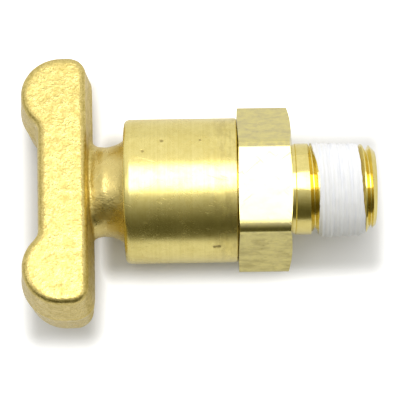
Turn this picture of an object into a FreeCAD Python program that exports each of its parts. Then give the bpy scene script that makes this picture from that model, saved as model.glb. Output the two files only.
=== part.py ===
import FreeCAD, Part
import os
import Sketcher

# Drain cock. Its axis is X, with the pipe thread towards +X. It lies on an edge of the hexagon and on one
# end of the bar. The origin is on the axis, at the face of the hexagon that the pipe shank leaves.

SIZES = (
    # Hexagon
    ("hex_flats", "22.2"),
    ("hex_length", "7.95"),
    ("hex_corner_radius", "1.9"),
    ("hex_chamfer_angle", "14"),
    ("hex_back_angle", "4"),
    # Shank and taper pipe thread, at its crests
    ("shank_diameter", "13.9"),
    ("shank_length", "2.95"),
    ("undercut_width", "0.7"),
    ("undercut_depth", "0.12"),
    ("pipe_length", "12.9"),
    ("taper_ratio", "16"),
    ("tip_chamfer", "1.0"),
    ("bore_diameter", "6.4"),
    # Sealant on the pipe thread
    ("sealant_inset", "0.75"),
    ("sealant_bare", "0.9"),
    ("sealant_film", "0.18"),
    ("sealant_feather", "0.4"),
    # Nipple inside the skirt
    ("nipple_diameter", "16.4"),
    ("nipple_thread_length", "6.15"),
    ("nipple_chamfer", "0.6"),
    ("relief_depth", "1.1"),
    ("seat_height", "2.0"),
    ("seat_land", "0.7"),
    ("seat_root", "1.8"),
    ("slot_width", "3.0"),
    # Screw between the nipple and the skirt
    ("screw_lift", "3.0"),
    ("screw_clearance", "0.1"),
    ("stop_clearance", "0.15"),
    # Seat disc
    ("disc_diameter", "9.0"),
    ("disc_thickness", "1.8"),
    ("disc_proud", "0.4"),
    ("disc_clearance", "0.1"),
    # Skirt
    ("skirt_gap", "0.1"),
    ("skirt_diameter", "22.0"),
    ("skirt_end_wall", "2.75"),
    ("skirt_mouth_chamfer", "0.15"),
    ("skirt_edge_radius", "0.6"),
    ("lip_thickness", "1.1"),
    ("lip_clearance", "0.6"),
    ("groove_width", "1.6"),
    ("groove_depth", "0.5"),
    # Neck
    ("neck_length", "4.85"),
    ("neck_diameter", "13.8"),
    ("neck_flare", "5.0"),
    ("neck_fillet", "2.0"),
    ("neck_sink", "0.4"),
    ("neck_fall", "1.1"),
    ("neck_root", "0.6"),
    # Bar
    ("bar_length", "40.4"),
    ("bar_waist_width", "8.6"),
    ("bar_thickness", "14.5"),
    ("bar_end_width", "11.1"),
    ("bar_corner_radius", "3.2"),
    ("bar_lobe_radius", "6.5"),
    ("bar_waist_radius", "2.0"),
    ("bar_draft", "5.0"),
    ("bar_edge_radius", "1.15"),
    ("bar_lean", "1.2"),
    # As the closed cock lies on a bench: turn of the hexagon from flat, and gap under the bar
    ("rest_roll", "4.0"),
    ("rest_gap", "0.03"),
)

doc = FreeCAD.newDocument("drain_cock")
sheet = doc.addObject("Spreadsheet::Sheet", "sizes")
for row, (alias, number) in enumerate(SIZES, start=1):
    sheet.set(f"A{row}", alias)
    sheet.set(f"B{row}", number)
    sheet.setAlias(f"B{row}", alias)
doc.recompute()

# Stations along the axis
HEX_BACK = "(-sizes.hex_length)"
MOUTH = f"({HEX_BACK} - sizes.skirt_gap)"
LIP_END = f"({MOUTH} - sizes.lip_thickness)"
RELIEF_END = f"({LIP_END} - sizes.screw_lift - sizes.stop_clearance)"
NIPPLE_END = f"({RELIEF_END} - sizes.nipple_thread_length)"
SEAT = f"({NIPPLE_END} - sizes.seat_height)"
DISC_BACK = f"({SEAT} - sizes.disc_thickness)"
FLOOR = f"({SEAT} - sizes.disc_proud)"
SHOULDER = f"({DISC_BACK} - sizes.skirt_end_wall)"
BAR_NEAR = f"({SHOULDER} - sizes.neck_length)"
WAIST = f"({BAR_NEAR} + sizes.neck_fillet - sizes.neck_sink)"
TIP = "sizes.pipe_length"
TAPER_END = f"({TIP} - sizes.tip_chamfer)"
BAND_START = "(sizes.shank_length + sizes.sealant_inset)"
BAND_END = f"({TAPER_END} - sizes.sealant_bare)"

# Radii about the axis
BORE = "(sizes.bore_diameter / 2)"
SHANK = "(sizes.shank_diameter / 2)"
NIPPLE = "(sizes.nipple_diameter / 2)"
RELIEF = f"({NIPPLE} - sizes.relief_depth)"
SCREW_BORE = f"({NIPPLE} + sizes.screw_clearance)"
GROOVE = f"({SCREW_BORE} + sizes.groove_depth)"
LIP = f"({RELIEF} + sizes.lip_clearance)"
RECESS = "(sizes.disc_diameter / 2 + sizes.disc_clearance)"
SKIRT = "(sizes.skirt_diameter / 2)"
NECK = "(sizes.neck_diameter / 2)"
HEX_CORNER = "(sizes.hex_flats / sqrt(3))"

# Bench under the rounded edge of the hexagon, and the turn that brings the rounded edge of the bar down to it
EDGE_CENTRE = f"({HEX_CORNER} - sizes.hex_corner_radius / cos(30))"
BENCH = f"({EDGE_CENTRE} * cos(30 - sizes.rest_roll) + sizes.hex_corner_radius)"
BAR_DROP = "(sizes.bar_thickness / 2 - sizes.bar_edge_radius)"
BAR_REACH = (
    f"(sizes.bar_length / 2 - {BAR_DROP} * tan(sizes.bar_draft)"
    " - sizes.bar_edge_radius / cos(sizes.bar_draft))"
)
REST_DEPTH = f"({BENCH} - sizes.bar_edge_radius - sizes.rest_gap)"
REST_TURN = (
    f"(asin({REST_DEPTH} / sqrt({BAR_REACH} ^ 2 + {BAR_DROP} ^ 2))"
    f" - atan({BAR_DROP} / {BAR_REACH}))"
)


def measure(expression):
    """Value of an expression on the sheet, in millimetres or degrees."""
    return float(sheet.evalExpression(expression))


def crest(station):
    """Radius of the taper at a station beyond the shank."""
    return f"({SHANK} - ({station} - sizes.shank_length) / sizes.taper_ratio / 2)"


def plane_of(body, role):
    """Origin plane of a body."""
    return next(item for item in body.Origin.OriginFeatures if item.Role == role)


def new_sketch(body, name, role):
    """Sketch on an origin plane of its body."""
    sketch = body.newObject("Sketcher::SketchObject", name)
    sketch.AttachmentSupport = (plane_of(body, role), [""])
    sketch.MapMode = "FlatFace"
    return sketch


def hold(sketch, kind, geometry, corner, expression):
    """Hold a corner at a distance from the origin, or on the axis where the distance is None."""
    if expression is None:
        axis = -2 if kind == "DistanceX" else -1
        sketch.addConstraint(Sketcher.Constraint("PointOnObject", geometry, corner, axis))
        return
    distance = Sketcher.Constraint(kind, -1, 1, geometry, corner, measure(expression))
    index = sketch.addConstraint(distance)
    sketch.setExpression(f"Constraints[{index}]", expression)


def arc_between(start, end, radius, side):
    """Short arc between two points, with its centre on the left (1) or the right (-1) of the way."""
    middle = start.add(end).multiply(0.5)
    half = middle.sub(start)
    across = FreeCAD.Vector(-half.y, half.x, 0).normalize()
    rise = max(radius ** 2 - half.Length ** 2, 0.0) ** 0.5
    centre = middle.add(across.multiply(side * rise))
    circle = Part.Circle(centre, FreeCAD.Vector(0, 0, 1), radius)
    first, last = (start, end) if side > 0 else (end, start)
    return Part.ArcOfCircle(circle, circle.parameter(first), circle.parameter(last))


def draw_loop(sketch, corners):
    """Closed loop of (x, y, arc) corners. The arc that leaves a corner is (radius, side), or None."""
    points = []
    for x, y, _ in corners:
        points.append(FreeCAD.Vector(measure(x) if x else 0, measure(y) if y else 0, 0))
    ends = []
    for index, (x, y, arc) in enumerate(corners):
        start = points[index]
        end = points[(index + 1) % len(points)]
        if arc is None:
            geometry = sketch.addGeometry(Part.LineSegment(start, end))
            ends.append((geometry, 1, 2))
        else:
            radius, side = arc
            geometry = sketch.addGeometry(arc_between(start, end, measure(radius), side))
            ends.append((geometry, 1, 2) if side > 0 else (geometry, 2, 1))
    for index, (geometry, _, leaving) in enumerate(ends):
        follower, entering, _ = ends[(index + 1) % len(ends)]
        sketch.addConstraint(Sketcher.Constraint("Coincident", geometry, leaving, follower, entering))
    for (geometry, entering, _), (x, y, arc) in zip(ends, corners):
        hold(sketch, "DistanceX", geometry, entering, x)
        hold(sketch, "DistanceY", geometry, entering, y)
        if arc is not None:
            index = sketch.addConstraint(Sketcher.Constraint("Radius", geometry, measure(arc[0])))
            sketch.setExpression(f"Constraints[{index}]", arc[0])


def straight(*points):
    """Corners of a loop that has straight sides only."""
    return [(x, y, None) for x, y in points]


def spin(body, kind, name, *loops):
    """Turned feature of a body: loops of (station, radius), turned about the axis."""
    sketch = new_sketch(body, f"{name}_profile", "XZ_Plane")
    for loop in loops:
        draw_loop(sketch, loop)
    feature = body.newObject(f"PartDesign::{kind}", name)
    feature.Profile = sketch
    feature.ReferenceAxis = (sketch, ["H_Axis"])
    feature.Angle = 360
    body.Tip = feature
    doc.recompute()
    return feature


def round_edges(body, name, edges, radius):
    """Fillet on some edges of the last feature of a body."""
    base = body.Tip
    feature = body.newObject("PartDesign::Fillet", name)
    feature.Base = (base, edges)
    feature.setExpression("Radius", radius)
    body.Tip = feature
    doc.recompute()


def turned_by(angle):
    """Placement that turns a sub-part about the axis."""
    return f"placement(vector(0; 0; 0); rotation(vector(1; 0; 0); {angle}))"


def edges_where(shape, wanted):
    """Names of the edges of a shape that meet a condition."""
    return [f"Edge{number}" for number, edge in enumerate(shape.Edges, start=1) if wanted(edge)]


# Body of the cock: hexagon, nipple, shank and pipe end from one bar
hex_body = doc.addObject("PartDesign::Body", "hex_body")

hex_sketch = new_sketch(hex_body, "hex_outline", "YZ_Plane")
half_corner = f"({HEX_CORNER} / 2)"
half_flats = "(sizes.hex_flats / 2)"
draw_loop(hex_sketch, straight(
    (HEX_CORNER, None),
    (half_corner, half_flats),
    (f"(-{half_corner})", half_flats),
    (f"(-{HEX_CORNER})", None),
    (f"(-{half_corner})", f"(-{half_flats})"),
    (half_corner, f"(-{half_flats})"),
))
hexagon = hex_body.newObject("PartDesign::Pad", "hexagon")
hexagon.Profile = hex_sketch
hexagon.Reversed = True
hexagon.setExpression("Length", "sizes.hex_length")
hex_body.Tip = hexagon
doc.recompute()


def along_axis(edge):
    """Whether an edge runs along the axis."""
    return edge.BoundBox.XLength > measure("sizes.hex_length") / 2


round_edges(hex_body, "hex_corners", edges_where(hexagon.Shape, along_axis), "sizes.hex_corner_radius")

outside = f"({HEX_CORNER} + sizes.hex_corner_radius)"
corner_height = f"({outside} - {half_flats})"
front_bevel = f"({corner_height} * tan(sizes.hex_chamfer_angle))"
back_bevel = f"({corner_height} * tan(sizes.hex_back_angle))"
spin(
    hex_body, "Groove", "hex_chamfers",
    straight((None, half_flats), (None, outside), (f"(-{front_bevel})", outside)),
    straight((HEX_BACK, half_flats), (HEX_BACK, outside), (f"({HEX_BACK} + {back_bevel})", outside)),
)

undercut = f"({SHANK} - sizes.undercut_depth)"
core = f"({HEX_BACK} / 2)"
spin(hex_body, "Revolution", "turned_ends", straight(
    (SEAT, BORE),
    (SEAT, f"({BORE} + sizes.seat_land)"),
    (NIPPLE_END, f"({BORE} + sizes.seat_root)"),
    (NIPPLE_END, f"({NIPPLE} - sizes.nipple_chamfer)"),
    (f"({NIPPLE_END} + sizes.nipple_chamfer)", NIPPLE),
    (RELIEF_END, NIPPLE),
    (RELIEF_END, RELIEF),
    (core, RELIEF),
    (core, undercut),
    ("sizes.undercut_width", undercut),
    ("(sizes.undercut_width + sizes.undercut_depth)", SHANK),
    ("sizes.shank_length", SHANK),
    (TAPER_END, crest(TAPER_END)),
    (TIP, f"({crest(TAPER_END)} - sizes.tip_chamfer)"),
    (TIP, BORE),
))

bore_sketch = new_sketch(hex_body, "bore_circle", "YZ_Plane")
circle_index = bore_sketch.addGeometry(Part.Circle(FreeCAD.Vector(), FreeCAD.Vector(0, 0, 1), measure(BORE)))
bore_sketch.addConstraint(Sketcher.Constraint("Coincident", circle_index, 3, -1, 1))
radius_index = bore_sketch.addConstraint(Sketcher.Constraint("Radius", circle_index, measure(BORE)))
bore_sketch.setExpression(f"Constraints[{radius_index}]", BORE)
bore = hex_body.newObject("PartDesign::Pocket", "through_bore")
bore.Profile = bore_sketch
bore.Type = "ThroughAll"
bore.SideType = "Symmetric"
hex_body.Tip = bore
doc.recompute()

slot_sketch = new_sketch(hex_body, "slot_outline", "XZ_Plane")
slot_top = f"({NIPPLE} + sizes.nipple_chamfer)"
slot_far = f"({NIPPLE_END} - sizes.nipple_chamfer)"
slot_near = f"({RELIEF_END} + sizes.nipple_chamfer)"
for sign in ("", "-"):
    draw_loop(slot_sketch, straight(
        (slot_far, f"({sign}{RELIEF})"),
        (slot_near, f"({sign}{RELIEF})"),
        (slot_near, f"({sign}{slot_top})"),
        (slot_far, f"({sign}{slot_top})"),
    ))
slots = hex_body.newObject("PartDesign::Pocket", "drain_slots")
slots.Profile = slot_sketch
slots.SideType = "Symmetric"
slots.setExpression("Length", "sizes.slot_width")
hex_body.Tip = slots
doc.recompute()
hex_body.setExpression("Placement", turned_by("sizes.rest_roll"))

# Sealant band on the crests of the pipe thread
thread_sealant = doc.addObject("PartDesign::Body", "thread_sealant")
full_start = f"({BAND_START} + sizes.sealant_feather)"
full_end = f"({BAND_END} - sizes.sealant_feather)"
spin(thread_sealant, "Revolution", "sealant_band", straight(
    (BAND_START, crest(BAND_START)),
    (full_start, f"({crest(full_start)} + sizes.sealant_film)"),
    (full_end, f"({crest(full_end)} + sizes.sealant_film)"),
    (BAND_END, crest(BAND_END)),
))
thread_sealant.setExpression("Placement", turned_by("sizes.rest_roll"))

# Seat disc in the bottom of the skirt
seat_disc = doc.addObject("Part::Cylinder", "seat_disc")
seat_disc.setExpression("Radius", "sizes.disc_diameter / 2")
seat_disc.setExpression("Height", "sizes.disc_thickness")
seat_disc.setExpression("Placement.Base.x", DISC_BACK)
seat_disc.Placement.Rotation = FreeCAD.Rotation(FreeCAD.Vector(0, 1, 0), 90)

# Skirt of the handle, with the screw bore, the lip, the recess for the disc and the flare of the neck
skirt = doc.addObject("PartDesign::Body", "skirt")
groove_end = f"({LIP_END} - sizes.groove_width)"
undercut_start = f"({FLOOR} + sizes.groove_width)"
edge_start = f"({SHOULDER} + sizes.skirt_edge_radius)"
flare = "sizes.neck_flare"
flare_top = f"({NECK} + {flare} - sqrt({flare} ^ 2 - ({SHOULDER} - {WAIST}) ^ 2))"
spin(skirt, "Revolution", "turned_skirt", [
    (MOUTH, LIP, None),
    (MOUTH, f"({SKIRT} - sizes.skirt_mouth_chamfer)", None),
    (f"({MOUTH} - sizes.skirt_mouth_chamfer)", SKIRT, None),
    (edge_start, SKIRT, ("sizes.skirt_edge_radius", 1)),
    (SHOULDER, f"({SKIRT} - sizes.skirt_edge_radius)", None),
    (SHOULDER, flare_top, (flare, -1)),
    (WAIST, NECK, None),
    (WAIST, None, None),
    (DISC_BACK, None, None),
    (DISC_BACK, RECESS, None),
    (FLOOR, RECESS, None),
    (FLOOR, GROOVE, None),
    (undercut_start, GROOVE, None),
    (undercut_start, SCREW_BORE, None),
    (groove_end, SCREW_BORE, None),
    (groove_end, GROOVE, None),
    (LIP_END, GROOVE, None),
    (LIP_END, LIP, None),
])

# Neck: round at its waist, wider than high where it runs into the bar
fillet = "sizes.neck_fillet"
FILLET_STEPS = (0.0, 0.5, 0.8, 0.95)
sections = []


def add_section(name, station, across, height):
    """Elliptical section of the neck, square to the axis."""
    section = doc.addObject("Part::Ellipse", name)
    section.Placement.Rotation = FreeCAD.Rotation(FreeCAD.Vector(1, 1, 1), 120)
    section.setExpression("Placement.Base.x", station)
    section.setExpression("MajorRadius", across)
    section.setExpression("MinorRadius", height)
    sections.append(section)


for number, step in enumerate(FILLET_STEPS, start=1):
    reach = f"({step} * {fillet})"
    across = f"({NECK} + {fillet} - sqrt({fillet} ^ 2 - {reach} ^ 2))"
    height = f"({NECK} - {step} * sizes.neck_fall)"
    add_section(f"fillet_section_{number}", f"({WAIST} - {reach})", across, height)
add_section(
    "root_section",
    f"({WAIST} - {fillet} - sizes.neck_root)",
    f"({NECK} + {fillet})",
    f"({NECK} - sizes.neck_fall)",
)
neck = doc.addObject("Part::Loft", "neck")
neck.Sections = sections
neck.Solid = True
doc.recompute()

# Bar, forged with draft on both sides of a parting plane through the axis
bar = doc.addObject("PartDesign::Body", "bar")
reach = "(sizes.bar_length / 2)"
corner = "sizes.bar_corner_radius"
lobe = "sizes.bar_lobe_radius"
waist = "sizes.bar_waist_radius"
corner_out = f"({BAR_NEAR} - {corner})"
lobe_out = f"({BAR_NEAR} - sizes.bar_end_width)"
crown = f"({lobe_out} + {lobe})"
lobe_side = f"({reach} - {lobe})"
waist_out = f"({BAR_NEAR} - sizes.bar_waist_width)"
across = f"({crown} - {waist_out} + {waist})"
down = f"sqrt(({lobe} + {waist}) ^ 2 - {across} ^ 2)"
share = f"({lobe} / ({lobe} + {waist}))"
meet_out = f"({crown} - {share} * {across})"
meet_side = f"({lobe_side} - {share} * {down})"
waist_side = f"({lobe_side} - {down})"
corner_side = f"({reach} - {corner})"
bar_sketch = new_sketch(bar, "bar_outline", "XY_Plane")
draw_loop(bar_sketch, [
    (BAR_NEAR, f"(-{corner_side})", None),
    (BAR_NEAR, corner_side, (corner, 1)),
    (corner_out, reach, None),
    (crown, reach, (lobe, 1)),
    (lobe_out, lobe_side, (lobe, 1)),
    (meet_out, meet_side, (waist, -1)),
    (waist_out, waist_side, None),
    (waist_out, f"(-{waist_side})", (waist, -1)),
    (meet_out, f"(-{meet_side})", (lobe, 1)),
    (lobe_out, f"(-{lobe_side})", (lobe, 1)),
    (crown, f"(-{reach})", None),
    (corner_out, f"(-{reach})", (corner, 1)),
])
forging = bar.newObject("PartDesign::Pad", "forged_bar")
forging.Profile = bar_sketch
forging.SideType = "Two sides"
for length in ("Length", "Length2"):
    forging.setExpression(length, "sizes.bar_thickness / 2")
for taper in ("TaperAngle", "TaperAngle2"):
    forging.setExpression(taper, "-sizes.bar_draft")
bar.Tip = forging
doc.recompute()


def on_face(edge):
    """Whether an edge bounds one of the two flat faces of the bar."""
    depth = measure("sizes.bar_thickness / 2 - sizes.bar_edge_radius")
    return all(abs(vertex.Z) > depth for vertex in edge.Vertexes) and edge.BoundBox.ZLength < depth


round_edges(bar, "bar_edges", edges_where(forging.Shape, on_face), "sizes.bar_edge_radius")
lean = "rotation(vector(0; 0; 1); sizes.bar_lean)"
bar.setExpression("Placement", f"placement(vector(0; 0; 0); {lean}; vector({BAR_NEAR}; 0; 0))")

tee_handle = doc.addObject("Part::MultiFuse", "tee_handle")
tee_handle.Shapes = [bar, neck, skirt]
tee_handle.Refine = True
tee_handle.setExpression("Placement", turned_by(f"(-{REST_TURN})"))
doc.recompute()

for item in doc.Objects:
    if "Invalid" in item.State or "Error" in item.State:
        raise RuntimeError(f"{item.Name} did not recompute")

os.makedirs("parts", exist_ok=True)
for item in (tee_handle, hex_body, seat_disc, thread_sealant):
    item.Label = item.Name
    if item.Shape.isNull() or not item.Shape.isValid() or len(item.Shape.Solids) != 1:
        raise RuntimeError(f"{item.Name} is not one valid solid")
    item.Shape.exportStep(f"parts/{item.Label}.step")
    box = item.Shape.optimalBoundingBox()
    print(f"{item.Label}: {item.Shape.Volume:.1f} mm3, X {box.XMin:.2f} to {box.XMax:.2f}, Z from {box.ZMin:.2f}")
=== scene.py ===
"""Brass drain cock with a forged T-handle, lying on a white table under a softbox.

Sizes are in millimetres and angles in degrees, apart from table_size, near_clip and the softbox in metres.
"""

import logging
import math
from contextlib import contextmanager
from dataclasses import dataclass, field
from enum import Enum
from functools import cache
from typing import Iterator, Mapping, Optional, Sequence, Union

import bmesh
import bpy
import numpy as np
from mathutils import Matrix, Vector, noise
from mathutils.bvhtree import BVHTree


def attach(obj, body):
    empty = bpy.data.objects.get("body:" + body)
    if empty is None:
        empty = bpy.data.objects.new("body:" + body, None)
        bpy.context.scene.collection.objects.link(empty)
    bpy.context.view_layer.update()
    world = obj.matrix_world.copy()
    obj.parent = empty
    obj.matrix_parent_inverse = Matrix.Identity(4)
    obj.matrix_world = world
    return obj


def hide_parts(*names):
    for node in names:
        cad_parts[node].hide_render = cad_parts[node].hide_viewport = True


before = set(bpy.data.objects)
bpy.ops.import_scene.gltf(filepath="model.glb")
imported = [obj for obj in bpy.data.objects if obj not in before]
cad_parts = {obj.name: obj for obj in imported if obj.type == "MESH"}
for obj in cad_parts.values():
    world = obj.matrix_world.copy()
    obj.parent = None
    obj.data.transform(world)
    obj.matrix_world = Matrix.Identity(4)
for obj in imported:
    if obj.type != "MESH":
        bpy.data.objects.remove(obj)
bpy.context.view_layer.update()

LOG = logging.getLogger("drain_cock")
MM = 0.001
WELD = 0.0005 * MM
FLOAT = "NodeSocketFloat"
VECTOR = "NodeSocketVector"
MIX_FIRST, MIX_SECOND, MIX_RESULT = 6, 7, 2
Colour = tuple[float, float, float]
Triple = tuple[float, float, float]
Socket = bpy.types.NodeSocket
Sockets = bpy.types.bpy_prop_collection
Value = Union[float, Sequence[float], Socket]


class Rider(Enum):
    """Bodies that the finished pieces ride on."""

    BODY = "body"
    HANDLE = "handle"


class Slot(Enum):
    """Names for material slots."""

    FORGED = "forged_brass"
    TURNED = "turned_brass"
    SEALANT = "sealant"


class Axis(Enum):
    """Columns of a point array."""

    X = 0
    Y = 1
    Z = 2


class Row(Enum):
    """What an array holds of a mesh's vertices."""

    PLACE = "co"
    NORMAL = "normal"


class Join(Enum):
    """Ways to join two solids."""

    ADD = "UNION"
    CUT = "DIFFERENCE"


@dataclass
class Board:
    """Node tree with short calls for adding and joining nodes."""

    tree: bpy.types.NodeTree

    def add(self, kind: str, *values: Value, named: Optional[Mapping[str, Value]] = None,
            **settings: object) -> bpy.types.Node:
        """Add a node.

        Args:
            kind: Type name of the node.
            values: Inputs in order.
            named: Inputs by name.
            settings: Properties of the node.

        Returns:
            The new node.
        """
        node = self.tree.nodes.new(kind)
        for name, value in settings.items():
            setattr(node, name, value)
        for socket, value in zip(node.inputs, values):
            self.feed(socket, value)
        for name, value in (named or {}).items():
            self.feed(node.inputs[name], value)
        return node

    def feed(self, socket: Socket, value: Value) -> None:
        """Give an input a constant or a link.

        Args:
            socket: Input socket.
            value: Number, vector, colour or output socket.
        """
        if isinstance(value, Socket):
            self.tree.links.new(value, socket)
        elif socket.type == "RGBA":
            socket.default_value = (*value[:3], 1.0)
        else:
            socket.default_value = value

    def group(self, tree: bpy.types.NodeTree, **values: Value) -> Sockets:
        """Place a shared group with its inputs by name, and give its outputs."""
        return self.add("ShaderNodeGroup", named=values, node_tree=tree).outputs

    def math(self, operation: str, *values: Value, clamp: bool = False) -> Socket:
        """Result of a Math node, between 0 and 1 where it is clamped."""
        return self.add("ShaderNodeMath", *values, operation=operation, use_clamp=clamp).outputs[0]

    def vector(self, operation: str, *values: Value) -> Socket:
        """Result of a Vector Math node, a number for a distance."""
        node = self.add("ShaderNodeVectorMath", *values, operation=operation)
        return node.outputs["Value" if operation == "DISTANCE" else "Vector"]

    def split(self, vector: Value) -> Sockets:
        """Parts X, Y and Z of a vector."""
        return self.add("ShaderNodeSeparateXYZ", vector).outputs

    def total(self, *terms: tuple[Value, Value], start: Value = 0.0, clamp: bool = False) -> Value:
        """Add up weighted numbers.

        Args:
            terms: Numbers and their weights.
            start: Number that they are added to.
            clamp: Whether the result stays between 0 and 1.

        Returns:
            The sum.
        """
        result = start
        for value, weight in terms:
            result = self.math("MULTIPLY_ADD", value, weight, result, clamp=clamp)
        return result

    def ramp(self, value: Value, low: float, high: float, start: float = 0.0, end: float = 1.0) -> Socket:
        """Smooth step from a start at the low number to an end at the high one."""
        limits = (low, high, start, end)
        return self.add("ShaderNodeMapRange", value, *limits, interpolation_type="SMOOTHSTEP").outputs[0]

    def grain(self, point: Value, scale: float, detail: float = 2.0, rough: float = 0.5) -> Socket:
        """Noise of about 0.5, with a scale in features per metre and a detail in octaves."""
        settings = {"Vector": point, "Scale": scale, "Detail": detail, "Roughness": rough}
        return self.add("ShaderNodeTexNoise", named=settings).outputs[0]

    def blend(self, share: Value, first: Value, second: Value) -> Socket:
        """Mix two colours.

        Args:
            share: Share of the second colour.
            first: Colour at 0.
            second: Colour at 1.

        Returns:
            Mixed colour.
        """
        node = self.add("ShaderNodeMix", share, data_type="RGBA")
        self.feed(node.inputs[MIX_FIRST], first)
        self.feed(node.inputs[MIX_SECOND], second)
        return node.outputs[MIX_RESULT]

    def bump(self, height: Value, distance: float, strength: float) -> Socket:
        """Normal of a height, with the distance in metres that 1 stands for."""
        settings = {"Strength": strength, "Distance": distance, "Height": height}
        return self.add("ShaderNodeBump", named=settings).outputs[0]

    def paint(self, named: Mapping[str, Value]) -> None:
        """Set inputs of the material's Principled node by name."""
        for name, value in named.items():
            self.feed(self.tree.nodes["Principled BSDF"].inputs[name], value)


def new_group(name: str, inputs: Mapping[str, str], outputs: Sequence[str]) -> tuple[Board, Sockets, Sockets]:
    """Start a shared shader node group.

    Args:
        name: Name of the group.
        inputs: Socket types of the inputs by name.
        outputs: Names of the outputs, which are all numbers.

    Returns:
        Its board, what comes in and what goes out.
    """
    tree = bpy.data.node_groups.new(name, "ShaderNodeTree")
    for label, kind in inputs.items():
        tree.interface.new_socket(label, in_out="INPUT", socket_type=kind)
    for label in outputs:
        tree.interface.new_socket(label, in_out="OUTPUT", socket_type=FLOAT)
    board = Board(tree)
    return board, board.add("NodeGroupInput").outputs, board.add("NodeGroupOutput").inputs


@cache
def tarnish_group() -> bpy.types.NodeTree:
    """Uneven tarnish of brass: a broad tone and fine smudges.

    Returns:
        The group, built once.
    """
    board, source, sink = new_group("brass_tarnish", {"Point": VECTOR, "Scale": FLOAT}, ("Broad", "Fine"))
    point = board.vector("SCALE", source["Point"])
    board.feed(point.node.inputs["Scale"], source["Scale"])
    board.feed(sink["Broad"], board.ramp(board.grain(point, 150.0, 3.0), 0.32, 0.68))
    board.feed(sink["Fine"], board.ramp(board.grain(point, 900.0, 4.0, 0.6), 0.35, 0.7))
    return board.tree


@cache
def tool_marks_group() -> bpy.types.NodeTree:
    """Fine rings that a lathe tool leaves round the axis, as a height and a mask.

    Returns:
        The group, built once.
    """
    board, source, sink = new_group("tool_marks", {"Point": VECTOR, "Scale": FLOAT}, ("Height", "Rings"))
    along = board.math("MULTIPLY", board.split(source["Point"])["X"], source["Scale"])
    terms = []
    for scale, detail, share in ((11000.0, 2.0, 0.6), (1900.0, 1.0, 0.4)):
        settings = {"W": along, "Scale": scale, "Detail": detail}
        rings = board.add("ShaderNodeTexNoise", named=settings, noise_dimensions="1D")
        terms.append((rings.outputs[0], share))
    height = board.total(*terms)
    board.feed(sink["Height"], height)
    board.feed(sink["Rings"], board.ramp(height, 0.35, 0.65))
    return board.tree


@cache
def scratches_group() -> bpy.types.NodeTree:
    """Thin handling scratches along one direction, as a mask.

    Returns:
        The group, built once.
    """
    inputs = {"Point": VECTOR, "Direction": VECTOR}
    board, source, sink = new_group("handling_scratches", inputs, ("Scratch",))
    turned = board.add("ShaderNodeVectorRotate", rotation_type="EULER_XYZ", named={
        "Vector": source["Point"], "Rotation": source["Direction"]})
    stretched = board.vector("MULTIPLY", turned.outputs[0], (260.0, 3600.0, 3600.0))
    thin = board.ramp(board.grain(stretched, 1.0, 2.0), 0.6, 0.7)
    patches = board.ramp(board.grain(source["Point"], 420.0, 1.0), 0.4, 0.62)
    board.feed(sink["Scratch"], board.math("MULTIPLY", thin, patches))
    return board.tree


def new_material(name: str) -> tuple[Board, Socket]:
    """Start a material.

    Args:
        name: Name of the material.

    Returns:
        Its board and its Object coordinates.
    """
    material = bpy.data.materials.new(name)
    material.use_nodes = True
    board = Board(material.node_tree)
    return board, board.add("ShaderNodeTexCoord").outputs["Object"]


@dataclass(frozen=True)
class ForgedBrass:
    """Shot-blasted forging: grainy gold with darker specks, and painted shade in the crease at the root of
    the bar.
    """

    name: str = "forged_brass_blasted"
    light: Colour = (0.785, 0.632, 0.235)
    deep: Colour = (0.47, 0.36, 0.08)
    roughness: float = 0.25
    grain_scales: tuple[float, float] = (2300.0, 4700.0)
    grain_height: float = 0.08 * MM
    # Station and half width of the painted shade in the crease where the bar meets the neck
    root_shade_at: float = -30.2 * MM
    root_shade_half: float = 0.8 * MM
    neck_start: float = -30.0 * MM
    neck_full: float = -29.0 * MM
    neck_share: float = 0.2

    def material(self) -> bpy.types.Material:
        """Build the material.

        Returns:
            The material.
        """
        board, point = new_material(self.name)
        tarnish = board.group(tarnish_group(), Point=point, Scale=1.0)
        coarse, fine = (board.grain(point, scale, 1.0) for scale in self.grain_scales)
        height = board.total((coarse, 0.5), (fine, 0.5))
        hollow = board.ramp(height, 0.58, 0.4)
        tone = board.total((hollow, 0.45), (tarnish["Fine"], 0.3), clamp=True)
        along = board.split(point)["X"]
        # Crease at the root of the bar: darker there as painted shade, and rougher
        gap = board.math("ABSOLUTE", board.math("SUBTRACT", along, self.root_shade_at))
        inner = board.ramp(gap, self.root_shade_half, 0.0)
        # Share of the darker tone, falling from the bar to a lighter neck
        neck_fade = board.ramp(along, self.neck_start, self.neck_full, 1.0, self.neck_share)
        tone = board.total((tone, neck_fade), (inner, 0.12), clamp=True)
        board.paint({
            "Base Color": board.blend(tone, self.light, self.deep),
            "Metallic": 1.0,
            "Roughness": board.total((tarnish["Fine"], 0.14), (inner, 0.22), start=self.roughness),
            "Normal": board.bump(height, self.grain_height, 0.9),
        })
        return bpy.data.materials[self.name]


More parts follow.
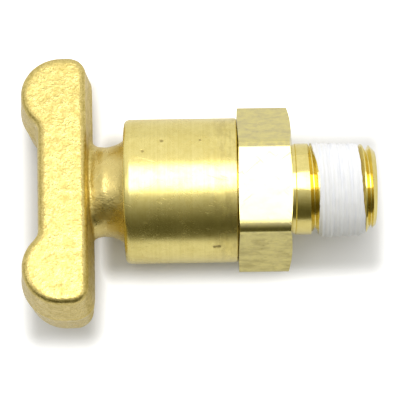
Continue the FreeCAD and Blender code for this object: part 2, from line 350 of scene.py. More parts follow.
@dataclass(frozen=True)
class TurnedBrass:
    """Brass turned on a lathe: fine rings, smudges and a few pits."""

    name: str = "turned_brass_satin"
    light: Colour = (0.93, 0.80, 0.31)
    dull: Colour = (0.79, 0.655, 0.21)
    pit: Colour = (0.49, 0.39, 0.14)
    roughness: float = 0.2
    ring_height: float = 0.009 * MM
    scratch_turn: Triple = (0.0, 0.15, 0.35)
    smudge: float = 0.0
    smudge_from: float = -14.0 * MM
    smudge_full: float = -9.0 * MM
    smudge_scales: Triple = (900.0, 380.0, 380.0)
    # Rows of x, y, z and reach in millimetres
    pits: tuple[tuple[float, float, float, float], ...] = ()

    def pit_mask(self, board: Board, point: Socket) -> Value:
        """Mask of the pits.

        Args:
            board: Board of the material.
            point: Object coordinates.

        Returns:
            Mask that is 1 in the pits.
        """
        mask: Value = 0.0
        wobble = board.math("MULTIPLY_ADD", board.grain(point, 3800.0, 2.0), 0.9, 0.55)
        for x, y, z, reach in self.pits:
            away = board.vector("DISTANCE", point, (x * MM, y * MM, z * MM))
            edge = board.math("MULTIPLY", wobble, reach * MM)
            ratio = board.math("DIVIDE", away, edge)
            mask = board.math("MAXIMUM", mask, board.ramp(ratio, 1.0, 0.45))
        return mask

    def material(self) -> bpy.types.Material:
        """Build the material.

        Returns:
            The material.
        """
        board, point = new_material(self.name)
        tarnish = board.group(tarnish_group(), Point=point, Scale=1.3)
        rings = board.group(tool_marks_group(), Point=point, Scale=1.0)
        scratch = board.group(scratches_group(), Point=point, Direction=self.scratch_turn)["Scratch"]
        stains = (tarnish["Fine"], 0.4), (tarnish["Broad"], 0.35), (rings["Rings"], 0.4)
        tone = board.total(*stains, clamp=True)
        colour = board.blend(tone, self.light, self.dull)
        near = board.ramp(board.split(point)["X"], self.smudge_from, self.smudge_full, 0.0, self.smudge)
        patch = board.grain(board.vector("MULTIPLY", point, self.smudge_scales), 1.0, 4.0, 0.6)
        smudge = board.math("MULTIPLY", near, board.ramp(patch, 0.4, 0.65))
        colour = board.blend(smudge, colour, self.pit)
        pits = self.pit_mask(board, point)
        rough = board.total((tarnish["Broad"], 0.1), (scratch, 0.12), (pits, 0.3), start=self.roughness)
        height = board.total((pits, -6.0), (scratch, -0.8), start=rings["Height"])
        board.paint({
            "Base Color": board.blend(pits, colour, self.pit),
            "Metallic": 1.0,
            "Roughness": rough,
            "Normal": board.bump(height, self.ring_height, 0.7),
        })
        return bpy.data.materials[self.name]


@dataclass(frozen=True)
class DrawnBrass:
    """Flats of drawn hexagon bar: smudges along the bar, crossing scratches, and painted shade on the flats
    towards the front.
    """

    name: str = "drawn_brass_flats"
    light: Colour = (0.84, 0.74, 0.29)
    dull: Colour = (0.575, 0.495, 0.28)
    # Painted shade on the flats towards the front, and the stations where it starts and is full
    front_flat_shade: Colour = (0.435, 0.365, 0.11)
    front_shade_from: float = -7.0 * MM
    front_shade_full: float = -8.0 * MM
    roughness: float = 0.13
    smear_scales: Triple = (420.0, 900.0, 900.0)
    scratch_turns: tuple[Triple, ...] = ((0.0, 0.0, 0.75), (0.4, 0.3, -0.6))
    mark_height: float = 0.002 * MM

    def material(self) -> bpy.types.Material:
        """Build the material.

        Returns:
            The material.
        """
        board, point = new_material(self.name)
        tarnish = board.group(tarnish_group(), Point=point, Scale=1.6)
        along = board.vector("MULTIPLY", point, self.smear_scales)
        smear = board.ramp(board.grain(along, 1.0, 4.0, 0.6), 0.38, 0.72)
        scratch: Value = 0.0
        for turn in self.scratch_turns:
            marks = board.group(scratches_group(), Point=point, Direction=turn)
            scratch = board.math("MAXIMUM", scratch, marks["Scratch"])
        tone = board.total((smear, 0.5), (tarnish["Fine"], 0.3), clamp=True)
        colour = board.blend(tone, self.light, self.dull)
        # Painted shade on the flats towards the front, mottled by smears and scratches
        side = board.ramp(board.split(point)["Y"], self.front_shade_from, self.front_shade_full)
        front_shade_mottle = board.total((smear, 0.45), (scratch, 0.35), start=0.3)
        front_shaded = board.math("MULTIPLY", side, front_shade_mottle, clamp=True)
        board.paint({
            "Base Color": board.blend(front_shaded, colour, self.front_flat_shade),
            "Metallic": 1.0,
            "Roughness": board.total((smear, 0.04), (scratch, 0.15), start=self.roughness),
            "Normal": board.bump(board.math("SUBTRACT", 1.0, scratch), self.mark_height, 0.5),
        })
        return bpy.data.materials[self.name]


@dataclass(frozen=True)
class SeatRubber:
    """Moulded black rubber with a faint bloom."""

    name: str = "seat_rubber_moulded"
    black: Colour = (0.018, 0.018, 0.019)
    bloom: Colour = (0.06, 0.06, 0.06)
    roughness: float = 0.62
    grain_height: float = 0.01 * MM

    def material(self) -> bpy.types.Material:
        """Build the material.

        Returns:
            The material.
        """
        board, point = new_material(self.name)
        bloom = board.ramp(board.grain(point, 500.0, 4.0, 0.6), 0.45, 0.75)
        board.paint({
            "Base Color": board.blend(bloom, self.black, self.bloom),
            "Roughness": board.total((bloom, 0.15), start=self.roughness),
            "Normal": board.bump(board.grain(point, 6000.0, 2.0), self.grain_height, 0.4),
        })
        return bpy.data.materials[self.name]


@dataclass(frozen=True)
class SealantCoat:
    """Dry white thread sealant: matte, with faint streaks along the thread."""

    name: str = "sealant_dry"
    white: Colour = (0.93, 0.935, 0.95)
    shade: Colour = (0.86, 0.875, 0.92)
    roughness: float = 0.55
    gloss: float = 0.3
    streak_scales: Triple = (2600.0, 260.0, 260.0)
    grain_height: float = 0.02 * MM

    def material(self) -> bpy.types.Material:
        """Build the material.

        Returns:
            The material.
        """
        board, point = new_material(self.name)
        stretched = board.vector("MULTIPLY", point, self.streak_scales)
        streak = board.ramp(board.grain(stretched, 1.0, 3.0), 0.42, 0.72)
        board.paint({
            "Base Color": board.blend(streak, self.white, self.shade),
            "Roughness": board.total((streak, 0.15), start=self.roughness),
            "Specular IOR Level": self.gloss,
            "Normal": board.bump(board.grain(point, 3000.0, 3.0, 0.6), self.grain_height, 0.4),
        })
        return bpy.data.materials[self.name]


def vertex_rows(mesh: bpy.types.Mesh, row: Row) -> np.ndarray:
    """Places or normals of the vertices of a mesh.

    Args:
        mesh: The mesh.
        row: What the array holds.

    Returns:
        One row of three numbers for each vertex, places in metres.
    """
    flat = np.empty(len(mesh.vertices) * 3)
    mesh.vertices.foreach_get(row.value, flat)
    return flat.reshape(-1, 3)


def place_points(mesh: bpy.types.Mesh, points: np.ndarray) -> None:
    """Move the vertices of a mesh."""
    mesh.vertices.foreach_set("co", points.astype(np.float32).ravel())
    mesh.update()


def round_point(station: float, radius: float, angle: float) -> Triple:
    """Point in metres from a station and a radius in millimetres and an angle about X."""
    return station * MM, radius * MM * math.cos(angle), radius * MM * math.sin(angle)


def new_object(name: str, mesh: bpy.types.Mesh) -> bpy.types.Object:
    """Object of a mesh, at the origin of the scene.

    Args:
        name: Name of the object.
        mesh: Its mesh.

    Returns:
        The object.
    """
    made = bpy.data.objects.new(name, mesh)
    bpy.context.scene.collection.objects.link(made)
    return made


def new_mesh(name: str, shell: bmesh.types.BMesh) -> bpy.types.Mesh:
    """Mesh of a shell, which is freed.

    Args:
        name: Name of the mesh.
        shell: The shell.

    Returns:
        The mesh.
    """
    mesh = bpy.data.meshes.new(name)
    shell.to_mesh(mesh)
    shell.free()
    return mesh


@contextmanager
def editing(mesh: bpy.types.Mesh) -> Iterator[bmesh.types.BMesh]:
    """Open a mesh for editing and write it back.

    Args:
        mesh: Mesh to edit.

    Yields:
        Its shell.
    """
    shell = bmesh.new()
    shell.from_mesh(mesh)
    yield shell
    shell.to_mesh(mesh)
    shell.free()


def bake(source: bpy.types.Object, name: str) -> bpy.types.Mesh:
    """Plain mesh of an object with its modifiers.

    Args:
        source: Object to evaluate. It is removed.
        name: Name of the mesh.

    Returns:
        The mesh.
    """
    graph = bpy.context.evaluated_depsgraph_get()
    mesh = bpy.data.meshes.new_from_object(source.evaluated_get(graph), depsgraph=graph)
    mesh.name = name
    bpy.data.objects.remove(source)
    return mesh


def merged_copy(node: bpy.types.Object, name: str) -> bpy.types.Mesh:
    """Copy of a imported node's mesh with its loose triangles joined.

    Args:
        node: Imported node.
        name: Name of the copy.

    Returns:
        The copy.
    """
    shell = bmesh.new()
    shell.from_mesh(node.data)
    bmesh.ops.remove_doubles(shell, verts=shell.verts, dist=WELD)
    return new_mesh(name, shell)


def combine(base: bpy.types.Object, other: bpy.types.Object, join: Join, name: str) -> bpy.types.Mesh:
    """Boolean of two closed objects, which are both removed.

    Args:
        base: First object.
        other: Second object.
        join: Whether the second is added or cut away.
        name: Name of the mesh.

    Returns:
        The mesh.
    """
    modifier = base.modifiers.new("combine", "BOOLEAN")
    modifier.operation = join.value
    modifier.solver = "EXACT"
    modifier.object = other
    mesh = bake(base, name)
    bpy.data.objects.remove(other)
    return mesh


def lathe(name: str, profile: Sequence[tuple[float, float]], steps: int) -> bpy.types.Mesh:
    """Closed solid of revolution about X.

    Args:
        name: Name of the mesh.
        profile: Closed loop of (station, radius) in millimetres, with the solid on the right of the way.
        steps: Faces round the axis.

    Returns:
        The mesh.
    """
    shell = bmesh.new()
    rings: list[list[bmesh.types.BMVert]] = []
    for x, r in profile:
        if r <= 0:
            rings.append([shell.verts.new((x * MM, 0, 0))] * steps)
            continue
        angles = (2 * math.pi * step / steps for step in range(steps))
        rings.append([shell.verts.new(round_point(x, r, angle)) for angle in angles])
    for index, ring in enumerate(rings):
        after = rings[(index + 1) % len(rings)]
        for step in range(steps):
            turn = (step + 1) % steps
            corners = list(dict.fromkeys((ring[step], ring[turn], after[turn], after[step])))
            if len(corners) > 2:
                shell.faces.new(corners)
    bmesh.ops.recalc_face_normals(shell, faces=shell.faces)
    return new_mesh(name, shell)


def smooth(mesh: bpy.types.Mesh, angle: float) -> None:
    """Smooth shading with sharp edges above an angle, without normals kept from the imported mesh.

    Args:
        mesh: Mesh of a piece.
        angle: Least angle of a sharp edge, in degrees.
    """
    kept = mesh.attributes.get("custom_normal")
    if kept is not None:
        mesh.attributes.remove(kept)
    mesh.polygons.foreach_set("use_smooth", [True] * len(mesh.polygons))
    mesh.set_sharp_from_angle(angle=math.radians(angle))


def finish_piece(piece: bpy.types.Object, rider: Rider, node: str) -> bpy.types.Object:
    """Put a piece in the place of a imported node.

    Args:
        piece: Finished piece.
        rider: Body that it rides on.
        node: Node that it stands for.

    Returns:
        The piece.
    """
    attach(piece, rider.value)
    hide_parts(node)
    return piece


@dataclass
class TeeHandle:
    """Forged T-handle: bar and neck with a blasted skin, and a turned skirt."""

    mouth: float = -8.05
    lip_end: float = -9.15
    lip_radius: float = 7.7
    groove_width: float = 1.6
    groove_radius: float = 8.8
    screw_radius: float = 8.3
    floor: float = -20.85
    disc_back: float = -22.25
    recess_radius: float = 4.6
    shoulder: float = -25.0
    skirt_radius: float = 11.0
    mouth_chamfer: float = 0.15
    edge_drop: float = 0.6
    edge_length: float = 1.05
    edge_steps: int = 12
    bar_near: float = -29.85
    turn: float = -13.55
    cut_back: float = 0.02
    cut_reach: float = 1e-5
    finish_back: float = 0.01
    plug: float = 0.8
    voxel: float = 0.19
    steps: int = 192
    even_share: float = 0.5
    even_rounds: int = 8
    smoothing: int = 6
    sharp_angle: float = 32.0
    skin: float = 0.03
    skin_top: float = 1.2
    # Rows of scale, share and shift
    skin_waves: tuple[tuple[float, float, Triple], ...] = (
        (0.28, 0.9, (0.0, 0.0, 0.0)), (0.95, 0.5, (7.0, 3.0, 1.0)), (1.9, 0.4, (2.0, 9.0, 4.0)),
    )
    neck_blend: float = 0.8
    neck_extra: float = 0.2
    wall_reach: float = 1.6
    wall_fall: float = 2.4
    ridge: float = 0.08
    ridge_half: float = 0.24
    ridge_sink: float = 0.5
    forged: ForgedBrass = field(default_factory=ForgedBrass)
    turned: TurnedBrass = field(default_factory=lambda: TurnedBrass(smudge=0.45, pits=(
        (-19.25, 6.51, 8.87, 0.36),
        (-22.05, 4.9, 9.85, 0.32),
        (-13.55, 6.56, 8.83, 0.26),
        (-11.6, -9.11, 6.17, 0.34),
        (-11.25, -9.05, 6.25, 0.26),
        (-10.95, -9.05, 6.25, 0.4),
    )))

    def skirt(self) -> bpy.types.Object:
        """Turned skirt with its screw bore, grooves, lip and recess.

        Returns:
            The skirt.
        """
        outline = [
            (self.mouth, self.lip_radius),
            (self.mouth, self.skirt_radius - self.mouth_chamfer),
            (self.mouth - self.mouth_chamfer, self.skirt_radius),
        ]
        arc_x = self.shoulder + self.edge_length
        arc_r = self.skirt_radius - self.edge_drop
        for step in range(self.edge_steps + 1):
            angle = math.radians(90 * step / self.edge_steps)
            station = arc_x - self.edge_length * math.sin(angle)
            outline.append((station, arc_r + self.edge_drop * math.cos(angle)))
        outline += [
            (self.shoulder, 0.0),
            (self.disc_back, 0.0),
            (self.disc_back, self.recess_radius),
            (self.floor, self.recess_radius),
            (self.floor, self.groove_radius),
            (self.floor + self.groove_width, self.groove_radius),
            (self.floor + self.groove_width, self.screw_radius),
            (self.lip_end - self.groove_width, self.screw_radius),
            (self.lip_end - self.groove_width, self.groove_radius),
            (self.lip_end, self.groove_radius),
            (self.lip_end, self.lip_radius),
        ]
        return new_object("skirt_blank", lathe("skirt_blank", outline, self.steps))

    def blank(self, node: bpy.types.Object) -> bpy.types.Object:
        """Closed blank of the bar and the neck, with a plug that reaches into the end wall of the skirt.

        Args:
            node: Packed handle.

        Returns:
            The blank.
        """
        mesh = merged_copy(node, "forging_blank")
        place = ((self.shoulder - self.cut_back) * MM, 0, 0)
        with editing(mesh) as shell:
            everything = shell.verts[:] + shell.edges[:] + shell.faces[:]
            bmesh.ops.bisect_plane(shell, geom=everything, dist=self.cut_reach * MM, plane_co=place,
                                   plane_no=(1, 0, 0), clear_outer=True)
            rim = [edge for edge in shell.edges if edge.is_boundary]
            grown = bmesh.ops.extrude_edge_only(shell, edges=rim)["geom"]
            tip = [item for item in grown if isinstance(item, bmesh.types.BMVert)]
            bmesh.ops.translate(shell, verts=tip, vec=(self.plug * MM, 0, 0))
            rim = [edge for edge in shell.edges if edge.is_boundary]
            bmesh.ops.holes_fill(shell, edges=rim, sides=0)
            bmesh.ops.recalc_face_normals(shell, faces=shell.faces)
        return new_object("forging_blank", mesh)

    def relief(self, points: np.ndarray, normals: np.ndarray) -> np.ndarray:
        """Height of the forged skin at points of the bar and the neck, in millimetres.

        Args:
            points: Points in metres.
            normals: Unit normals.

        Returns:
            Heights, never above 0.
        """
        angle = math.radians(self.turn)
        level, facing = (-math.sin(angle) * rows[:, Axis.Y.value] + math.cos(angle) * rows[:, Axis.Z.value]
                         for rows in (points, normals))
        heights = np.empty(len(points))
        for index, point in enumerate(points / MM):
            place = Vector(point)
            waves = (share * noise.noise(place * scale + Vector(shift))
                     for scale, share, shift in self.skin_waves)
            heights[index] = sum(waves) - self.skin_top
        neck = np.clip((points[:, Axis.X.value] / MM - self.bar_near) / self.neck_blend, 0, 1)
        heights *= self.skin * (1 + self.neck_extra * neck)
        wall = np.clip(self.wall_reach - self.wall_fall * np.abs(facing), 0, 1) * (1 - neck)
        line = np.exp(-(level / (self.ridge_half * MM)) ** 2)
        return np.minimum(heights + self.ridge * (wall * line - self.ridge_sink), 0)

    def forging(self, node: bpy.types.Object) -> bpy.types.Object:
        """Bar and neck with the uneven skin of the forging.

        Args:
            node: Packed handle.

        Returns:
            The forging.
        """
        blank = self.blank(node)
        level = Matrix.Rotation(math.radians(-self.turn), 4, "X")
        blank.data.transform(level)
        shell = bmesh.new()
        shell.from_mesh(blank.data)
        surface = BVHTree.FromBMesh(shell)
        shell.free()
        modifier = blank.modifiers.new("even_faces", "REMESH")
        modifier.mode = "VOXEL"
        modifier.voxel_size = self.voxel * MM
        even = blank.modifiers.new("even_points", "SMOOTH")
        even.factor = self.even_share
        even.iterations = self.even_rounds
        mesh = bake(blank, "forging")
        nearest = [surface.find_nearest(point)[0] for point in vertex_rows(mesh, Row.PLACE)]
        place_points(mesh, np.array(nearest))
        with editing(mesh) as shell:
            for _ in range(self.smoothing):
                bmesh.ops.smooth_vert(shell, verts=shell.verts, factor=self.even_share, use_axis_x=True,
                                      use_axis_y=True, use_axis_z=True)
        mesh.transform(level.inverted())
        points = vertex_rows(mesh, Row.PLACE)
        normals = vertex_rows(mesh, Row.NORMAL)
        place_points(mesh, points + normals * (self.relief(points, normals) * MM)[:, None])
        return new_object("forging", mesh)

    def build(self) -> bpy.types.Object:
        """Handle in one piece, dressed.

        Returns:
            The finished piece.
        """
        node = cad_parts["tee_handle"]
        mesh = combine(self.forging(node), self.skirt(), Join.ADD, "tee_handle_finished")
        mesh.materials.clear()
        mesh.materials.append(self.forged.material())
        mesh.materials.append(self.turned.material())
        border = (self.shoulder - self.finish_back) * MM
        for face in mesh.polygons:
            face.material_index = 1 if face.center.x > border else 0
        smooth(mesh, self.sharp_angle)
        piece = new_object("tee_handle_finished", mesh)
        return finish_piece(piece, Rider.HANDLE, "tee_handle")


@dataclass
class PipeThread:
    """Taper pipe thread: pitch, taper and groove, shared by the body and the sealant."""

    pitch: float = 1.411
    start: float = 2.95
    end: float = 12.9
    crest_radius: float = 6.95
    taper_ratio: float = 16.0
    depth: float = 0.95
    root_flat: float = 0.12
    over: float = 0.08
    flank: float = 30.0
    runout_turns: float = 0.2
    phase: float = 63.7
    steps_per_turn: int = 72
    weld: float = 0.0001

    def crest(self, station: float) -> float:
        """Radius of the crests at a station, in millimetres."""
        return self.crest_radius - (station - self.start) / self.taper_ratio / 2

    def groove(self) -> bpy.types.NodeTree:
        """Node tree of the cutter: a trapezoid swept along a tapered helix about X.

        Returns:
            The tree.
        """
        tree = bpy.data.node_groups.new("pipe_thread_groove", "GeometryNodeTree")
        tree.interface.new_socket("Geometry", in_out="OUTPUT", socket_type="NodeSocketGeometry")
        for label in ("Pitch", "Start", "Radius", "Fall", "Runout", "Steps", "Count", "Phase",
                      "Root", "Mouth", "Depth"):
            kind = "NodeSocketInt" if label == "Count" else FLOAT
            tree.interface.new_socket(label, in_out="INPUT", socket_type=kind)
        tree.interface.new_socket("Finish", in_out="INPUT", socket_type="NodeSocketMaterial")
        board = Board(tree)
        sizes = board.add("NodeGroupInput").outputs
        line = board.add("GeometryNodeMeshLine", named={"Count": sizes["Count"]})
        turns = board.math("DIVIDE", board.add("GeometryNodeInputIndex").outputs[0], sizes["Steps"])
        angle = board.math("MULTIPLY_ADD", turns, 2 * math.pi, sizes["Phase"])
        rise = board.math("MULTIPLY", turns, sizes["Pitch"])
        radius = board.math("MULTIPLY_ADD", rise, sizes["Fall"], sizes["Radius"])
        fade = board.math("SUBTRACT", 1.0, board.math("DIVIDE", turns, sizes["Runout"]), clamp=True)
        radius = board.math("MULTIPLY_ADD", fade, sizes["Depth"], radius)
        across = board.math("MULTIPLY", radius, board.math("COSINE", angle))
        upward = board.math("MULTIPLY", radius, board.math("SINE", angle))
        place = board.add("ShaderNodeCombineXYZ", across, upward, board.math("ADD", rise, sizes["Start"]))
        coil = board.add("GeometryNodeSetPosition", named={
            "Geometry": line.outputs[0], "Position": place.outputs[0]})
        path = board.add("GeometryNodeMeshToCurve", coil.outputs[0])
        upright = board.add("GeometryNodeSetCurveNormal", path.outputs[0], mode="Z_UP")
        profile = board.add("GeometryNodeCurvePrimitiveQuadrilateral", mode="TRAPEZOID", named={
            "Bottom Width": sizes["Root"], "Top Width": sizes["Mouth"],
            "Height": sizes["Depth"], "Offset": 0.0})
        turned = board.add("GeometryNodeTransform", named={
            "Geometry": profile.outputs[0], "Rotation": (0.0, 0.0, math.radians(-90))})
        sweep = board.add("GeometryNodeCurveToMesh", named={
            "Curve": upright.outputs[0], "Profile Curve": turned.outputs[0], "Fill Caps": True})
        laid = board.add("GeometryNodeTransform", named={
            "Geometry": sweep.outputs[0], "Rotation": (0.0, math.radians(90), 0.0)})
        real = board.add("GeometryNodeRealizeInstances", laid.outputs[0])
        dressed = board.add("GeometryNodeSetMaterial", named={
            "Geometry": real.outputs[0], "Material": sizes["Finish"]})
        board.add("NodeGroupOutput", dressed.outputs[0])
        return tree

    def cutter(self, finish: bpy.types.Material) -> bpy.types.Object:
        """Helical cutter of the groove.

        Args:
            finish: Material that the cut faces get.

        Returns:
            Closed cutter.
        """
        tall = self.depth + self.over
        turns = (self.end - self.start) / self.pitch + 1.0
        values = {
            "Pitch": self.pitch * MM,
            "Start": self.start * MM,
            "Radius": (self.crest(self.start) + self.over - tall / 2) * MM,
            "Fall": -0.5 / self.taper_ratio,
            "Runout": self.runout_turns,
            "Steps": float(self.steps_per_turn),
            "Count": int(turns * self.steps_per_turn),
            "Phase": math.radians(self.phase),
            "Root": self.root_flat * MM,
            "Mouth": (self.root_flat + 2 * tall * math.tan(math.radians(self.flank))) * MM,
            "Depth": tall * MM,
            "Finish": finish,
        }
        tool = new_object("thread_cutter", bpy.data.meshes.new("thread_cutter"))
        modifier = tool.modifiers.new("groove", "NODES")
        modifier.node_group = self.groove()
        for item in modifier.node_group.interface.items_tree:
            if item.in_out == "INPUT":
                modifier[item.identifier] = values[item.name]
        mesh = bake(tool, "thread_cutter")
        with editing(mesh) as shell:
            bmesh.ops.remove_doubles(shell, verts=shell.verts, dist=self.weld * MM)
            bmesh.ops.recalc_face_normals(shell, faces=shell.faces)
        return new_object("thread_cutter", mesh)


@dataclass
class HexBody:
    """Body of the cock: hexagon, shank, pipe thread and nipple."""

    hex_length: float = 7.95
    hex_inner: float = 9.0
    hex_reach: float = 0.01
    weld: float = 0.004
    sharp_angle: float = 28.0
    thread: PipeThread = field(default_factory=PipeThread)
    flats: DrawnBrass = field(default_factory=DrawnBrass)
    turned: TurnedBrass = field(default_factory=lambda: TurnedBrass(
        name="turned_brass_bright", roughness=0.1, ring_height=0.003 * MM))

    def build(self) -> bpy.types.Object:
        """Body with its thread cut, dressed.

        Returns:
            The finished piece.
        """
        bright = self.turned.material()
        base = new_object("body_blank", merged_copy(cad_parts["hex_body"], "body_blank"))
        base.data.materials.clear()
        base.data.materials.append(bright)
        mesh = combine(base, self.thread.cutter(bright), Join.CUT, "hex_body_threaded")
        with editing(mesh) as shell:
            bmesh.ops.remove_doubles(shell, verts=shell.verts, dist=self.weld * MM)
            bmesh.ops.dissolve_degenerate(shell, edges=shell.edges, dist=self.weld * MM)
        mesh.materials.clear()
        mesh.materials.append(bright)
        mesh.materials.append(self.flats.material())
        for face in mesh.polygons:
            away = math.hypot(face.center.y, face.center.z) / MM
            within = -self.hex_length - self.hex_reach < face.center.x / MM < self.hex_reach
            face.material_index = 1 if within and away > self.hex_inner else 0
        smooth(mesh, self.sharp_angle)
        piece = new_object("hex_body_threaded", mesh)
        return finish_piece(piece, Rider.BODY, "hex_body")


@dataclass
class SealantBand:
    """White sealant on the pipe thread, rippled by the thread under it."""

    thread: PipeThread = field(default_factory=PipeThread)
    film: float = 0.17
    sag: float = 0.42
    sag_power: float = 1.5
    dip: float = 0.29
    groove_share: float = 0.55
    groove_power: float = 1.3
    wave_share: float = 0.45
    wave_lag: float = 0.8
    lump_radius: float = 7.0
    # Rows of height and scale
    lumps: tuple[tuple[float, float], ...] = ((0.05, 0.7), (0.02, 2.2))
    edge_film: float = 0.03
    feather: float = 0.7
    inner: float = 0.85
    columns: int = 110
    steps: int = 220
    sharp_angle: float = 50.0
    # Rows of angle, first station and last station
    ends: tuple[tuple[float, float, float], ...] = (
        (0, 3.15, 10.2), (40, 3.45, 10.3), (75, 4.15, 10.5), (100, 4.25, 10.65), (140, 4.15, 11.1),
        (180, 4.3, 11.4), (250, 4.2, 11.3), (310, 3.6, 10.7), (360, 3.15, 10.2),
    )
    # Rows of scale and shift
    frays: tuple[tuple[float, float], ...] = ((11.0, 5.1), (4.0, 1.7))
    start_fray: float = 0.06
    end_fray: float = 0.07
    end_rag: float = 0.05
    coat: SealantCoat = field(default_factory=SealantCoat)

    def edges(self, angle: float) -> tuple[float, float]:
        """Ends of the band at an angle about the axis.

        Args:
            angle: Angle from +Y towards +Z, in radians.

        Returns:
            First and last station in millimetres.
        """
        degrees = math.degrees(angle) % 360
        places, starts, stops = zip(*self.ends)
        first = float(np.interp(degrees, places, starts))
        last = float(np.interp(degrees, places, stops))
        fray, rag = (noise.noise(Vector((math.cos(angle) * scale, math.sin(angle) * scale, shift)))
                     for scale, shift in self.frays)
        return first + self.start_fray * fray, last + self.end_fray * fray + self.end_rag * rag

    def radius(self, station: float, angle: float, inset: float) -> float:
        """Outer radius of the coat.

        Args:
            station: Station in millimetres.
            angle: Angle about the axis in radians.
            inset: Distance from the nearer end of the band in millimetres.

        Returns:
            Radius in millimetres.
        """
        thread = self.thread
        lead = (angle + math.radians(90 - thread.phase)) / (2 * math.pi)
        turn = (station - thread.start) / thread.pitch - lead
        groove = 0.5 + 0.5 * math.cos(2 * math.pi * turn)
        wave = 0.5 + 0.5 * math.cos(4 * math.pi * turn + self.wave_lag)
        place = Vector((station, self.lump_radius * math.cos(angle), self.lump_radius * math.sin(angle)))
        uneven = sum(height * noise.noise(place * scale) for height, scale in self.lumps)
        sag = self.sag * max(0.0, -math.cos(angle)) ** self.sag_power
        ripple = self.groove_share * groove ** self.groove_power + self.wave_share * wave
        full = self.film + sag - self.dip * ripple + uneven
        share = min(max(inset / self.feather, 0.0), 1.0)
        share = share * share * (3 - 2 * share)
        return thread.crest(station) + self.edge_film + (full - self.edge_film) * share

    def build(self) -> bpy.types.Object:
        """Band as one closed piece, dressed.

        Returns:
            The finished piece.
        """
        shell = bmesh.new()
        loops = []
        for step in range(self.steps):
            angle = 2 * math.pi * step / self.steps
            first, last = self.edges(angle)
            loop = []
            for column in range(self.columns + 1):
                station = first + (last - first) * column / self.columns
                inset = min(station - first, last - station)
                loop.append((station, self.radius(station, angle, inset)))
            for share in (1.0, 0.5, 0.0):
                station = first + (last - first) * share
                loop.append((station, self.thread.crest(station) - self.inner))
            loops.append([shell.verts.new(round_point(x, r, angle)) for x, r in loop])
        for step, loop in enumerate(loops):
            after = loops[(step + 1) % self.steps]
            for index in range(len(loop)):
                follow = (index + 1) % len(loop)
                shell.faces.new((loop[index], loop[follow], after[follow], after[index]))
        bmesh.ops.recalc_face_normals(shell, faces=shell.faces)
        mesh = new_mesh("sealant_band", shell)
        mesh.materials.append(self.coat.material())
        smooth(mesh, self.sharp_angle)
        piece = new_object("sealant_band", mesh)
        return finish_piece(piece, Rider.BODY, "thread_sealant")


@dataclass
class SeatDisc:
    """Soft disc in the bottom of the skirt."""

    rubber: SeatRubber = field(default_factory=SeatRubber)

    def build(self) -> bpy.types.Object:
        """Packed disc, dressed.

        Returns:
            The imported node.
        """
        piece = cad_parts["seat_disc"]
        piece.data.materials.clear()
        piece.data.materials.append(self.rubber.material())
        return piece


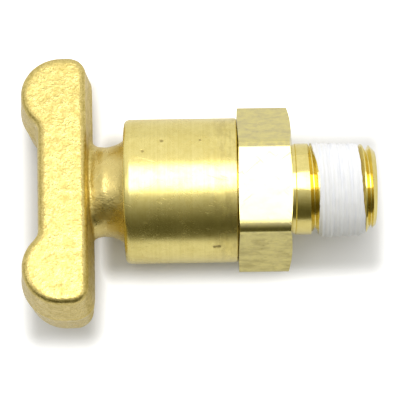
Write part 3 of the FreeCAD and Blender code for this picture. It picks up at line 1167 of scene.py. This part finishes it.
@dataclass
class Studio:
    """White table, softbox, surroundings and camera."""

    table_level: float = -11.46
    table_size: float = 4.0
    table_white: float = 0.78
    table_glow: float = 0.06
    shade_near: float = 0.0
    shade_far: float = 6.0
    # Rows of middle and half length along x and y, in the order x, y, x, y
    footprints: tuple[tuple[float, float, float, float], ...] = ((-7, -1, 20, 9), (-35.5, -1.5, 3.5, 19))
    box_height: float = 0.6
    box_near: float = -0.045
    box_far: float = 0.42
    box_half_length: float = 0.14
    box_level: float = 2.8
    side_from: float = 0.75
    side_full: float = 0.98
    left_level: float = 0.42
    right_level: float = 0.57
    end_half: float = 0.5
    side_warmth: float = 0.7
    tilt: float = 6.2
    roll: float = 0.9
    sensor: float = 36.0
    near_clip: float = 0.01
    distance: float = 281.0
    field_width: float = 61.0
    aim_x: float = -13.67
    aim_up: float = -1.42
    warm: Colour = (0.9, 0.86, 0.45)
    # Rows of angle from straight up towards the back, level and share of the warm tone
    surroundings: tuple[tuple[float, float, float], ...] = (
        (-180, 0.78, 0), (-98, 0.74, 0), (-86, 0.17, 1), (-76, 0.105, 1), (-60, 0.105, 1), (-50, 0.15, 0.9),
        (-40, 0.25, 0.6), (-30, 0.365, 0.35), (-20, 0.52, 0.15), (-8, 0.74, 0), (-3, 0.96, 0), (2, 1.4, 0),
        (18, 1.4, 0), (28, 0.78, 0), (37, 0.96, 0), (180, 0.96, 0),
    )

    def whitening(self, board: Board) -> Socket:
        """Glow of the table, low beside the object and white farther out.

        Args:
            board: Board of the table's material.

        Returns:
            Strength of the glow.
        """
        place = board.split(board.add("ShaderNodeTexCoord").outputs["Object"])
        gaps = []
        for middle_x, middle_y, half_x, half_y in self.footprints:
            sides = []
            for way, middle, half in (("X", middle_x, half_x), ("Y", middle_y, half_y)):
                away = board.math("ABSOLUTE", board.math("SUBTRACT", place[way], middle * MM))
                sides.append(board.math("MAXIMUM", board.math("SUBTRACT", away, half * MM), 0.0))
            along, across = sides
            square = board.math("MULTIPLY_ADD", along, along, board.math("POWER", across, 2.0))
            gaps.append(board.math("SQRT", square))
        nearest = board.math("MINIMUM", *gaps)
        return board.ramp(nearest, self.shade_near * MM, self.shade_far * MM, self.table_glow, 1.0)

    def table(self) -> bpy.types.Object:
        """White table that keeps the shadow.

        Returns:
            The table.
        """
        half = self.table_size / 2
        corners = ((-half, -half), (half, -half), (half, half), (-half, half))
        mesh = bpy.data.meshes.new("table_top")
        mesh.from_pydata([(x, y, self.table_level * MM) for x, y in corners], [], [(0, 1, 2, 3)])
        material = bpy.data.materials.new("table_white")
        material.use_nodes = True
        board = Board(material.node_tree)
        board.tree.nodes.clear()
        diffuse = board.add("ShaderNodeBsdfDiffuse", (self.table_white,) * 3)
        path = board.add("ShaderNodeLightPath").outputs
        mirrored = board.math("MAXIMUM", path["Is Glossy Ray"], path["Is Transmission Ray"])
        seen = board.math("MULTIPLY", path["Is Camera Ray"], self.whitening(board))
        strength = board.math("MULTIPLY_ADD", mirrored, self.table_glow, seen)
        glow = board.add("ShaderNodeEmission", named={"Strength": strength})
        both = board.add("ShaderNodeAddShader", diffuse.outputs[0], glow.outputs[0])
        board.add("ShaderNodeOutputMaterial", named={"Surface": both.outputs[0]})
        mesh.materials.append(material)
        return new_object("table_top", mesh)

    def softbox(self) -> None:
        """Large soft lamp above and behind the object."""
        lamp = bpy.data.lights.new("softbox", "AREA")
        lamp.shape = "RECTANGLE"
        lamp.size = 2 * self.box_half_length
        lamp.size_y = self.box_far - self.box_near
        lamp.energy = self.box_level * math.pi * lamp.size * lamp.size_y
        made = bpy.data.objects.new("softbox", lamp)
        made.location = (self.aim_x * MM, (self.box_far + self.box_near) / 2, self.box_height)
        bpy.context.scene.collection.objects.link(made)

    def tone(self, level: float, warmth: float) -> Colour:
        """Colour of a part of the room.

        Args:
            level: Brightness.
            warmth: Share of the warm tone.

        Returns:
            The colour.
        """
        red, green, blue = (level * (1 + warmth * (part - 1)) for part in self.warm)
        return red, green, blue

    def world(self) -> None:
        """Bright room behind the object and a dark side in front, with white behind the table."""
        world = bpy.data.worlds.new("studio")
        world.use_nodes = True
        bpy.context.scene.world = world
        board = Board(world.node_tree)
        board.tree.nodes.clear()
        way = board.split(board.add("ShaderNodeTexCoord").outputs["Generated"])
        angle = board.math("ARCTAN2", way["Y"], way["Z"])
        ramp = board.add("ShaderNodeValToRGB", board.math("MULTIPLY_ADD", angle, 0.5 / math.pi, 0.5))
        stops = ramp.color_ramp.elements
        for index, (degrees, level, warmth) in enumerate(self.surroundings):
            stop = stops[index] if index < len(stops) else stops.new(1.0)
            stop.position = degrees / 360 + 0.5
            stop.color = (*self.tone(level, warmth), 1.0)
        side = board.ramp(board.math("ABSOLUTE", way["X"]), self.side_from, self.side_full)
        left, right = (self.tone(level, self.side_warmth) for level in (self.left_level, self.right_level))
        end = board.blend(board.ramp(way["X"], -self.end_half, self.end_half), left, right)
        room = board.add("ShaderNodeBackground", board.blend(side, ramp.outputs[0], end))
        white = board.add("ShaderNodeBackground", (1.0, 1.0, 1.0))
        seen = board.add("ShaderNodeLightPath").outputs["Is Camera Ray"]
        mix = board.add("ShaderNodeMixShader", seen, room.outputs[0], white.outputs[0])
        board.add("ShaderNodeOutputWorld", named={"Surface": mix.outputs[0]})

    def camera(self) -> None:
        """Camera almost straight above, a little in front of the object."""
        lens = bpy.data.cameras.new("camera")
        lens.sensor_width = self.sensor
        lens.lens = self.sensor * self.distance / self.field_width
        lens.clip_start = self.near_clip
        tilt, roll = math.radians(self.tilt), math.radians(self.roll)
        along = Vector((1, 0, 0))
        up = Vector((0, math.cos(tilt), math.sin(tilt)))
        back = Vector((0, -math.sin(tilt), math.cos(tilt)))
        right_side = along * math.cos(roll) - up * math.sin(roll)
        upper_side = along * math.sin(roll) + up * math.cos(roll)
        place = along * self.aim_x + up * self.aim_up + back * self.distance
        turn = Matrix((right_side, upper_side, back)).transposed().to_4x4()
        made = bpy.data.objects.new("camera", lens)
        made.matrix_world = Matrix.Translation(place * MM) @ turn
        bpy.context.scene.collection.objects.link(made)
        bpy.context.scene.camera = made

    def build(self) -> None:
        """Set up the whole studio."""
        self.table()
        self.softbox()
        self.world()
        self.camera()
        bpy.context.scene.view_settings.view_transform = "Standard"
        LOG.info("studio set up")


def main() -> None:
    """Build and report the pieces, and set up the studio."""
    logging.basicConfig(level=logging.INFO, format="%(name)s: %(message)s")
    for assembly in (TeeHandle(), HexBody(), SealantBand(), SeatDisc()):
        piece = assembly.build()
        LOG.info("%s: %d faces", piece.name, len(piece.data.polygons))
    Studio().build()


if __name__ == "__main__":
    main()
